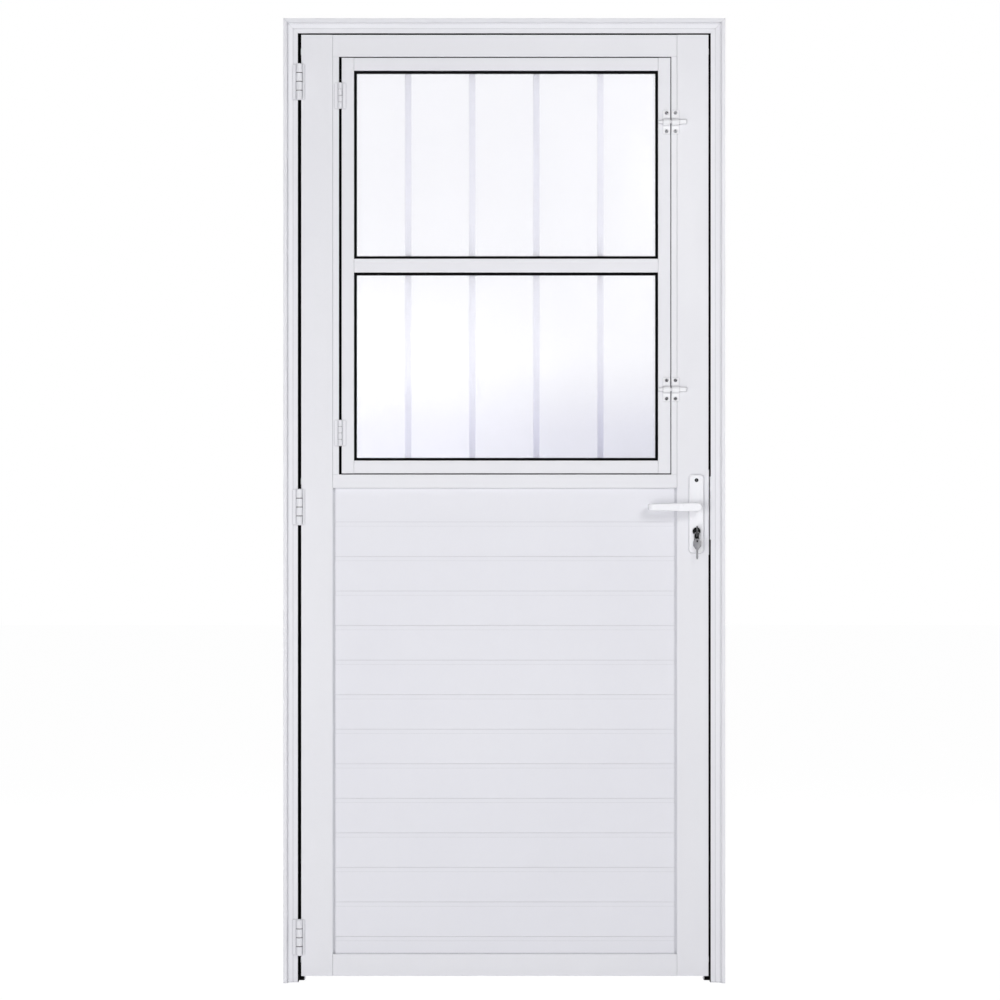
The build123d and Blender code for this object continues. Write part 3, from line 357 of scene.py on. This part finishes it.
def new_finish(name, relief, strength=1.0, **values):
    """The tree, the Principled shader and the Bump node of a new material."""
    look = bpy.data.materials.new(name)
    look.use_nodes = True
    tree = look.node_tree
    tree.nodes.clear()
    shader = feed(add_node(tree, "ShaderNodeBsdfPrincipled"), **values)
    bump = feed(add_node(tree, "ShaderNodeBump"), Distance=relief, Strength=strength)
    feed(shader, Normal=bump.outputs[0])
    feed(add_node(tree, "ShaderNodeOutputMaterial"), Surface=shader.outputs[0])
    finishes[name] = look
    return tree, shader, bump


def add_group(tree, group, **values):
    """The outputs of a node group that is placed in a material with its own values."""
    return feed(add_node(tree, "ShaderNodeGroup", node_tree=group), **values).outputs


# %% [markdown]
# Powder-coated aluminium covers most of the door. The long profiles, the thin boards, the cast
# handles and the small latches have the same kind of coat at different scales and gloss, with
# painted shade in the creases. The beads round the boards get a darker coat and more painted shade,
# which stand for the shade beside the stiles. The lock's face and strike plates are white like the
# door, a little lighter as a painted highlight, and get less painted shade.


# %% Coated metals
def coated_metal(name, coat, shade, peel_scale, relief, roughness, reach=0.004, crease_shade_amount=0.6):
    """A powder-coated metal: tone, painted shade in its creases, orange peel and wiped gloss."""
    smear = 0.12
    tree, shader, bump = new_finish(name, relief, IOR=1.5)
    colour = add_group(tree, tone, Coat=(*coat, 1), Shade=(*shade, 1))["Color"]
    # Painted shade: the crease group darkens the coat where faces meet.
    dust_and_shade = add_group(tree, crease, Coat=colour, Reach=reach, Amount=crease_shade_amount)["Color"]
    rub = add_group(tree, wipe, Clean=roughness, Smeared=roughness + smear)["Roughness"]
    feed(bump, Height=add_group(tree, peel, Scale=peel_scale)["Height"])
    feed(shader, Base_Color=dust_and_shade, Roughness=rub)


coated_metal(
    "white_coat", coat=(0.80, 0.80, 0.83), shade=(0.76, 0.76, 0.80),
    peel_scale=420, relief=0.00003, roughness=0.34,
)
coated_metal(
    "board_coat", coat=(0.79, 0.79, 0.83), shade=(0.75, 0.75, 0.80),
    peel_scale=480, relief=0.00002, roughness=0.38,
)
coated_metal(
    "handle_coat", coat=(0.90, 0.90, 0.93), shade=(0.87, 0.87, 0.90),
    peel_scale=700, relief=0.00001, roughness=0.22,
)
coated_metal(
    "latch_coat", coat=(0.88, 0.88, 0.90), shade=(0.83, 0.83, 0.86),
    peel_scale=900, relief=0.00002, roughness=0.30,
)
coated_metal(
    "plug_plastic", coat=(0.84, 0.84, 0.86), shade=(0.80, 0.80, 0.83),
    peel_scale=1200, relief=0.00001, roughness=0.28,
)
# The beads' darker coat and strong crease setting are painted shade.
coated_metal(
    "bead_coat", coat=(0.69, 0.69, 0.73), shade=(0.65, 0.65, 0.70),
    peel_scale=480, relief=0.00002, roughness=0.38, reach=0.012, crease_shade_amount=1.0,
)
# The plates' lighter coat is a painted highlight, and their weak crease setting paints less shade.
coated_metal(
    "plate_coat", coat=(0.86, 0.86, 0.88), shade=(0.80, 0.80, 0.83),
    peel_scale=700, relief=0.00001, roughness=0.28, reach=0.002, crease_shade_amount=0.2,
)
print("coated finishes:", list(finishes))

# %% [markdown]
# The seals are black rubber and the hinge washers black nylon. Both are matt, a little grey where
# dust sits, with a fine grain.


# %% Black rubber and nylon
def black_matter(name, dark, dust_and_shade, grain, relief, roughness):
    """A matt black: rubber or nylon with a breath of dust."""
    smear = 0.15
    tree, shader, bump = new_finish(name, relief, IOR=1.45, Specular_IOR_Level=0.12)
    colour = add_group(tree, tone, Coat=(*dark, 1), Shade=(*dust_and_shade, 1), Clouds=0.3, Mottle=0.3)
    rub = add_group(tree, wipe, Clean=roughness, Smeared=roughness + smear)["Roughness"]
    feed(bump, Height=add_group(tree, peel, Scale=grain, Grit=0.6)["Height"])
    feed(shader, Base_Color=colour["Color"], Roughness=rub)


black_matter(
    "seal_rubber", dark=(0.0012, 0.0012, 0.0014), dust_and_shade=(0.004, 0.004, 0.0045),
    grain=900, relief=0.00004, roughness=0.75,
)
black_matter(
    "washer_nylon", dark=(0.02, 0.02, 0.022), dust_and_shade=(0.05, 0.05, 0.055),
    grain=1500, relief=0.00002, roughness=0.5,
)
print("finishes with the black ones:", len(finishes))


# %% [markdown]
# The slot of a screw gets a painted colour of its own: painted shade in the light screws' slots,
# and a painted highlight in the dark screws' slots. The slot's floor lies deeper than the head's
# face, so a mask of depth finds it: one in the slot, zero on the face.

# %% Group: slot recess mask
slot_depth, slot_depth_in, slot_depth_out = new_group(
    "slot_recess_mask",
    [("Face", "NodeSocketFloat", 0.02), ("Depth", "NodeSocketFloat", 0.0003)],
    [("Mask", "NodeSocketFloat")],
)
slot_depth_axes = add_node(slot_depth, "ShaderNodeSeparateXYZ")
plug(slot_depth_axes.inputs[0], object_point(slot_depth))
slot_depth_side = add_math(slot_depth, "ABSOLUTE", slot_depth_axes.outputs["Y"])
slot_depth_below = add_math(slot_depth, "SUBTRACT", slot_depth_in["Face"], slot_depth_side)
feed(slot_depth_out, Mask=add_math(slot_depth, "GREATER_THAN", slot_depth_below, slot_depth_in["Depth"]))
print("group:", slot_depth.name)

# %% [markdown]
# The lock's working parts are plated steel, darkened with painted shade that stands for the shade
# in the gap beside the leaf. The keys are nickel-plated and worn, and the screws are plated light
# or dark, with painted shade in the light screws' slots and a painted highlight in the dark screws'
# slots. They differ in colour and in the way their grinding lines run.


# %% Bare metals
def plated_metal(name, colour, worn, stretch, bright, dull):
    """A plated metal with ground lines and a mottled tone."""
    line_depth = 0.00001
    tree, shader, bump = new_finish(name, line_depth, Metallic=1.0)
    mottle = add_group(tree, tone, Coat=(*colour, 1), Shade=(*worn, 1), Clouds=0.5, Mottle=0.5)
    ground = add_group(tree, lines, Stretch=stretch, Dull=dull, Bright=bright)
    feed(bump, Height=ground["Height"])
    feed(shader, Base_Color=mottle["Color"], Roughness=ground["Roughness"])


def paint_slot_shade_highlight(name, screws, slot_painted_colour):
    """Paints the slots of a screw finish, found below the face of the screws' heads, in a colour of
    painted shade or painted highlight given by the call.
    """
    tree = finishes[name].node_tree
    shader = next(node for node in tree.nodes if node.type == "BSDF_PRINCIPLED")
    plain = shader.inputs["Base Color"].links[0].from_socket
    mask = add_group(tree, slot_depth, Face=-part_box(screws)[0].y)["Mask"]
    feed(shader, Base_Color=add_mix(tree, "RGBA", mask, plain, (*slot_painted_colour, 1)))


# Plated steel, its dark colour painted shade for the gap beside the leaf.
plated_metal(
    "bright_steel", colour=(0.06, 0.06, 0.06), worn=(0.03, 0.03, 0.03),
    stretch=(900, 900, 30), bright=0.3, dull=0.45,
)
plated_metal(
    "screw_steel", colour=(0.20, 0.20, 0.21), worn=(0.09, 0.09, 0.10),
    stretch=(900, 40, 900), bright=0.18, dull=0.32,
)
plated_metal(
    "screw_dark", colour=(0.018, 0.018, 0.02), worn=(0.01, 0.01, 0.01),
    stretch=(900, 40, 900), bright=0.25, dull=0.4,
)
plated_metal(
    "cylinder_dark", colour=(0.022, 0.022, 0.022), worn=(0.01, 0.01, 0.01),
    stretch=(900, 60, 900), bright=0.25, dull=0.4,
)
plated_metal(
    "key_steel", colour=(0.50, 0.50, 0.51), worn=(0.26, 0.26, 0.27),
    stretch=(700, 700, 60), bright=0.25, dull=0.45,
)
plated_metal(
    "key_worn", colour=(0.15, 0.15, 0.155), worn=(0.06, 0.06, 0.065),
    stretch=(60, 700, 700), bright=0.25, dull=0.45,
)
# Painted shade in the slots of the light screws, and a painted highlight in the slots of the dark
# screws.
paint_slot_shade_highlight("screw_steel", "guide_screws", (0.015, 0.015, 0.015))
paint_slot_shade_highlight("screw_dark", "escutcheon_screws", (0.10, 0.10, 0.105))
print("finishes with the bare metals:", len(finishes))

# %% [markdown]
# The panes are pressed glass, which blurs what is behind. A cell pattern about 4 mm wide gives the
# small dimples, and a slight roughness scatters the light between them. The glass has a faint
# lavender tint, and painted shade greys it towards the foot of the lower pane.

# %% Pressed glass
dimple_depth = 0.0004
dimple_strength = 0.16
foot_shade_colour = (0.76, 0.76, 0.84, 1)
glass_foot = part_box("pane_lower")[0].z
foot_shade_full, foot_shade_gone = glass_foot + 0.02, glass_foot + 0.26
glass_tree, glass_shader, glass_bump = new_finish(
    "pane_glass", dimple_depth, dimple_strength, Transmission_Weight=0.86, IOR=1.45
)
glass_tint = add_group(
    glass_tree, tone,
    Coat=(0.965, 0.965, 1.0, 1), Shade=(0.93, 0.93, 0.975, 1), Clouds=0.4, Mottle=0.3,
)["Color"]
glass_axes = add_node(glass_tree, "ShaderNodeSeparateXYZ")
plug(glass_axes.inputs[0], object_point(glass_tree))
# Painted shade: the glass turns greyer towards the foot of the lower pane.
glass_foot_shade = add_node(glass_tree, "ShaderNodeMapRange", interpolation_type="SMOOTHSTEP")
feed(glass_foot_shade, Value=glass_axes.outputs["Z"], From_Min=foot_shade_full, From_Max=foot_shade_gone)
feed(glass_foot_shade, To_Min=1.0, To_Max=0.0)
glass_colour = add_mix(glass_tree, "RGBA", glass_foot_shade.outputs[0], glass_tint, foot_shade_colour)
glass_cells = add_node(glass_tree, "ShaderNodeTexVoronoi")
feed(glass_cells, Vector=object_point(glass_tree), Scale=260.0)
glass_rub = add_group(glass_tree, wipe, Clean=0.12, Smeared=0.18)["Roughness"]
feed(glass_bump, Height=glass_cells.outputs["Distance"])
feed(glass_shader, Base_Color=glass_colour, Roughness=glass_rub)
print("all finishes:", len(finishes))

# %% [markdown]
# Every solid gets the finish of its slot in the record. Three solids have a look of their own
# within their slot: the beads, darker with painted shade, and the two plates at the lock, a little
# lighter as a painted highlight and with less painted shade.

# %% Dress the solids
slot_of = {entry["node"]: entry["material_slot"] for entry in frame["record"]["subparts"]}
own_look = {
    "panel_beads": "bead_coat",
    "lock_faceplate": "plate_coat",
    "strike_plate": "plate_coat",
}
for name, solid in nodes.items():
    solid.data.materials.clear()
    solid.data.materials.append(finishes[own_look.get(name, slot_of[name])])
print("dressed solids:", len(nodes))

# %% [markdown]
# The keys are stamped from nickel-plated sheet: a bow with eight sides and a hole, shoulders, and a
# blade with a milled groove and a pointed tip. One key is pulled out of an eight-sided disc by
# extruding the side that faces the blade. Cutters take away the hole, the groove and the bitting.


# %% Piece helpers
def select_faces(piece, test):
    """Goes to edit mode with only the faces selected that pass a test."""
    bpy.ops.object.mode_set(mode="EDIT")
    bpy.ops.mesh.select_mode(type="FACE")
    bpy.ops.mesh.select_all(action="DESELECT")
    bpy.ops.object.mode_set(mode="OBJECT")
    for face in piece.data.polygons:
        face.select = test(face)
    bpy.ops.object.mode_set(mode="EDIT")


def pull(step, squeeze=1.0):
    """Extrudes the selected face along Y and narrows its end."""
    bpy.ops.mesh.extrude_region_move(TRANSFORM_OT_translate={"value": (0, step, 0)})
    bpy.ops.transform.resize(value=(squeeze, 1, 1), center_override=(0, 0, 0))


def apply_place(piece):
    """Moves an object's place, turn and scale into its mesh."""
    bpy.ops.object.select_all(action="DESELECT")
    piece.select_set(True)
    bpy.context.view_layer.objects.active = piece
    bpy.ops.object.transform_apply(location=True, rotation=True, scale=True)


def set_down(piece, across, along, facing, origin):
    """Turns a piece to three axes, moves it to its place and keeps both in its mesh."""
    turned = Matrix((across, along, facing)).transposed().to_4x4()
    piece.matrix_world = Matrix.Translation(origin) @ turned
    apply_place(piece)


def cut(piece, cutter):
    """Takes a cutter's shape out of a piece and deletes the cutter."""
    apply_place(cutter)
    bpy.ops.object.select_all(action="DESELECT")
    bpy.context.view_layer.objects.active = piece
    taken = piece.modifiers.new("cut", "BOOLEAN")
    taken.operation = "DIFFERENCE"
    taken.solver = "EXACT"
    taken.object = cutter
    bpy.ops.object.modifier_apply(modifier=taken.name)
    bpy.data.objects.remove(cutter)


# %% Key blank
key_thickness = 0.0022
key_bow = Vector((0.024, 0.022))
key_shoulder = 0.003
key_blade = 0.0046
key_blade_length = 0.0198
tip_length = 0.0022
tip_squeeze = 0.35
hair = 0.0001
bpy.ops.object.select_all(action="DESELECT")
bpy.ops.mesh.primitive_cylinder_add(
    vertices=8, radius=0.5, depth=key_thickness, rotation=(0, 0, radians(22.5))
)
blank = bpy.context.object
blank.name = "key_blank"
apply_place(blank)
flat_width = max(vertex.co.x for vertex in blank.data.vertices) * 2
blank.scale = (key_bow.x / flat_width, key_bow.y / flat_width, 1)
blank.location = (0, -key_shoulder - key_bow.y / 2, 0)
apply_place(blank)
side_width = 2 * max(v.co.x for v in blank.data.vertices if v.co.y > -key_shoulder - hair)
select_faces(blank, lambda face: face.normal.y > 0.9)
pull(key_shoulder, key_blade / side_width)
pull(key_blade_length - tip_length)
pull(tip_length, tip_squeeze)
bpy.ops.object.mode_set(mode="OBJECT")
print("key blank faces:", len(blank.data.polygons))

# %% Hole, groove and bitting
cutter_depth = 0.01
hole_radius = 0.0032
hole_from_end = 0.0052
groove_middle = 0.0105
groove_size = (0.0011, 0.0175, 0.0009)
first_notch = 0.004
notch_pitch = 0.0033
notch_depths = (0.0011, 0.0006, 0.0012, 0.0007, 0.0010)
hole_y = -key_shoulder - key_bow.y + hole_from_end
bpy.ops.mesh.primitive_cylinder_add(
    vertices=32, radius=hole_radius, depth=cutter_depth, location=(0, hole_y, 0)
)
cut(blank, bpy.context.object)
for face_z in (-key_thickness / 2, key_thickness / 2):
    bpy.ops.mesh.primitive_cube_add(size=1, location=(0, groove_middle, face_z))
    bpy.context.object.scale = groove_size
    cut(blank, bpy.context.object)
for index, depth in enumerate(notch_depths):
    notch_side = 2 * depth / 2**0.5
    notch_place = (key_blade / 2, first_notch + notch_pitch * index, 0)
    bpy.ops.mesh.primitive_cube_add(
        size=notch_side, location=notch_place, rotation=(0, 0, radians(45))
    )
    bpy.context.object.scale = (1, 1, cutter_depth / notch_side)
    cut(blank, bpy.context.object)
soften = blank.modifiers.new("soften", "BEVEL")
soften.width = 0.00025
soften.segments = 2
soften.limit_method = "ANGLE"
soften.angle_limit = radians(40)
bpy.context.view_layer.objects.active = blank
bpy.ops.object.modifier_apply(modifier=soften.name)
print("finished key faces:", len(blank.data.polygons))

# %% [markdown]
# One key stands in the cylinder with its blade inside, and the spare hangs from the ring with its
# blade down, turned with the ring by 40 degrees. Both are copies of the finished blank, placed by
# the boxes of the solids that they replace.


# %% Place the keys
def place_copy(name, across, along, facing, origin, node, look):
    """A copy of the key blank with its own mesh, turned and set in place of a solid."""
    piece = blank.copy()
    piece.data = blank.data.copy()
    piece.name = name
    bpy.context.scene.collection.objects.link(piece)
    set_down(piece, across, along, facing, origin)
    piece.data.materials.clear()
    piece.data.materials.append(finishes[look])
    bpy.ops.object.shade_smooth_by_angle(angle=radians(30))
    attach(piece, "key_set")
    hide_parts(node)


def middle(node):
    """The middle of a solid's box."""
    low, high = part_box(node)
    return (low + high) / 2


ring_turn = radians(40)
ring_across = Vector((sin(ring_turn), -cos(ring_turn), 0))
ring_along = Vector((cos(ring_turn), sin(ring_turn), 0))
right, inward, up, down = (Vector(axis) for axis in ((1, 0, 0), (0, 1, 0), (0, 0, 1), (0, 0, -1)))
shoulder_from_bow = key_shoulder + key_bow.y
key_origin = middle("key")
key_origin.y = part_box("key")[0].y + shoulder_from_bow
spare_origin = middle("spare_key")
spare_origin.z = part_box("spare_key")[1].z - shoulder_from_bow
place_copy("key_in_lock", down, inward, right, key_origin, "key", "key_worn")
place_copy("key_spare", ring_across, down, ring_along, spare_origin, "spare_key", "key_steel")
bpy.data.objects.remove(blank)
print("keys placed at", [round(value, 4) for value in spare_origin])

# %% [markdown]
# The keys hang on a split ring: one wire wound nearly twice round, coil against coil. The Screw
# modifier winds a small circle about the ring's axis, and its two open ends are filled.

# %% Split ring
ring_wire = 0.00045
ring_radius = 0.009
ring_turns = 1.93
ring_steps = 128
weld_distance = 0.000001
bpy.ops.object.select_all(action="DESELECT")
bpy.ops.mesh.primitive_circle_add(vertices=12, radius=ring_wire, rotation=(radians(90), 0, 0))
split_ring = bpy.context.object
split_ring.name = "split_ring"
split_ring.location = (ring_radius, 0, -ring_wire * ring_turns)
apply_place(split_ring)
wind = split_ring.modifiers.new("wind", "SCREW")
wind.angle = tau * ring_turns
wind.screw_offset = 2 * ring_wire * ring_turns
wind.steps = ring_steps
wind.render_steps = ring_steps
bpy.ops.object.modifier_apply(modifier=wind.name)
bpy.ops.object.mode_set(mode="EDIT")
bpy.ops.mesh.select_all(action="SELECT")
bpy.ops.mesh.remove_doubles(threshold=weld_distance)
bpy.ops.mesh.fill_holes(sides=0)
bpy.ops.mesh.select_all(action="SELECT")
bpy.ops.mesh.normals_make_consistent(inside=False)
bpy.ops.object.mode_set(mode="OBJECT")
set_down(split_ring, ring_along, up, ring_across, middle("key_ring"))
split_ring.data.materials.append(finishes["key_steel"])
bpy.ops.object.shade_smooth_by_angle(angle=radians(50))
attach(split_ring, "key_set")
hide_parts("key_ring")
print("split ring faces:", len(split_ring.data.polygons))

# %% [markdown]
# The last cell ends the script.

# %% End
print("scene ready")
